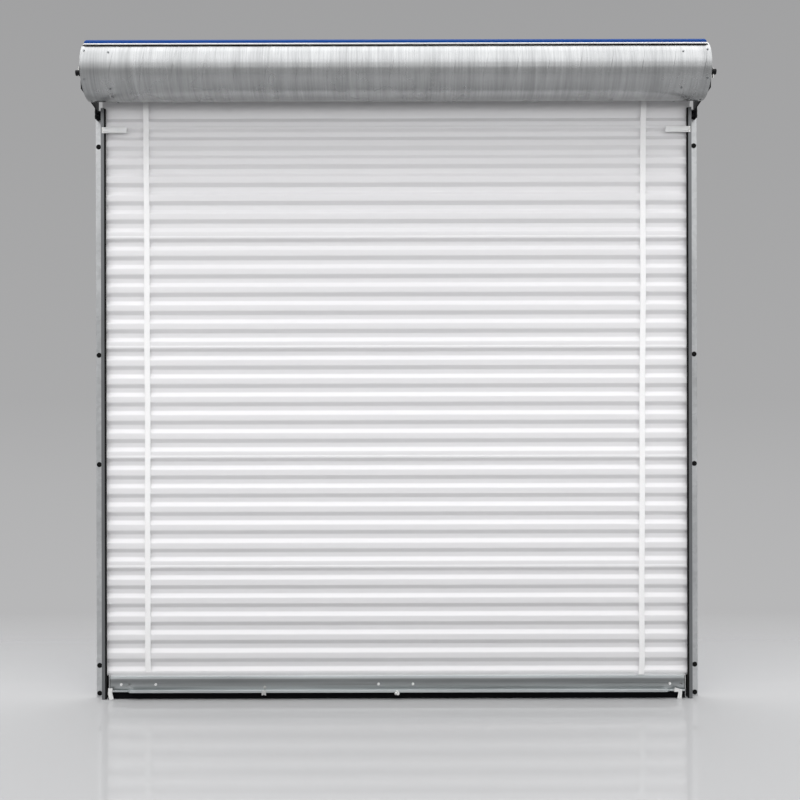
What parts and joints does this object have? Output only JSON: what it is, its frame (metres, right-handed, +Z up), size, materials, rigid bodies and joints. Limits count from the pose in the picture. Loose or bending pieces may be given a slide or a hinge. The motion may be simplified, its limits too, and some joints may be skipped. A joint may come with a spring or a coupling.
{
  "type": "roller shutter",
  "caption": "Closed roll-up door seen from its coil side: corrugated sheet curtain in side guides, sprung barrel on head brackets, bottom bar with seal and lift handles.",
  "frame": {"origin": "middle of the door on the floor, halfway between its front and its back", "axes": "+X to the right seen from the coil side, +Y towards the wall and outdoors, +Z up"},
  "size_m": [2.88, 0.3219, 3.0002],
  "materials": {
    "galvanised": "zinc coated",
    "wear_strip": "matte",
    "black_steel": "satin",
    "zinc": "zinc plated",
    "stop_white": "satin",
    "spring_steel": "oiled",
    "cast": "rough",
    "wheel_steel": "pressed",
    "bearing_steel": "ground",
    "curtain_blue": "gloss",
    "trim_white": "satin",
    "curtain_white": "satin",
    "tape": "woven",
    "bar_metal": "mill",
    "seal_rubber": "matte",
    "rope": "braided",
    "tab_plastic": "satin"
  },
  "bodies": {
    "frame": {"guide_left": "galvanised", "guide_right": "galvanised", "wear_strips_left": "wear_strip", "wear_strips_right": "wear_strip", "bracket_left": "black_steel", "bracket_right": "black_steel", "bracket_cleats": "zinc", "cleat_bolts": "zinc", "cleat_nuts": "zinc", "axle": "black_steel", "axle_end_pins": "zinc", "axle_collars": "zinc", "collar_screws": "zinc", "stop_bar_left": "stop_white", "stop_bar_right": "stop_white", "stop_rivets": "zinc", "spring_left": "spring_steel", "spring_right": "spring_steel", "spring_anchors": "cast", "anchor_set_screws": "zinc"},
    "barrel": {"barrel_tube": "galvanised", "drum_wheels": "wheel_steel", "barrel_bearings": "bearing_steel", "drum_screws": "zinc", "winding_wheels": "wheel_steel", "winding_screws": "zinc", "curtain_wrap": "curtain_blue", "wrap_edge_trim": "trim_white", "clamp_strip": "galvanised", "clamp_screws": "zinc"},
    "curtain": {"curtain_sheet_1": "curtain_white", "curtain_sheet_2": "curtain_white", "curtain_sheet_3": "curtain_white", "curtain_sheet_4": "curtain_white", "curtain_sheet_5": "curtain_white", "curtain_leader": "curtain_white", "curtain_tapes": "tape", "leader_tapes": "tape", "bottom_bar": "bar_metal", "bottom_seal": "seal_rubber", "bar_bolts": "zinc", "bar_nuts": "zinc", "lift_handle_left": "zinc", "lift_handle_centre": "zinc", "rope_knot": "rope", "flange_clip": "wheel_steel", "clip_screw": "zinc", "end_tabs": "tab_plastic"}
  },
  "joints": [
    {"name": "curtain_lift", "type": "slide", "parent": "frame", "child": "curtain", "axis": [0, 0, 1], "range_m": [0, 2.578], "deforming": ["curtain_leader", "leader_tapes"]},
    {"name": "barrel_spin", "type": "hinge", "parent": "frame", "child": "barrel", "pos_m": [0, -0.034, 2.86], "axis": [1, 0, 0], "range_deg": [0, 1080]}
  ],
  "couplings": [
    {"joint": "barrel_spin", "follows": "curtain_lift", "rad_per_m": 7.31}
  ]
}
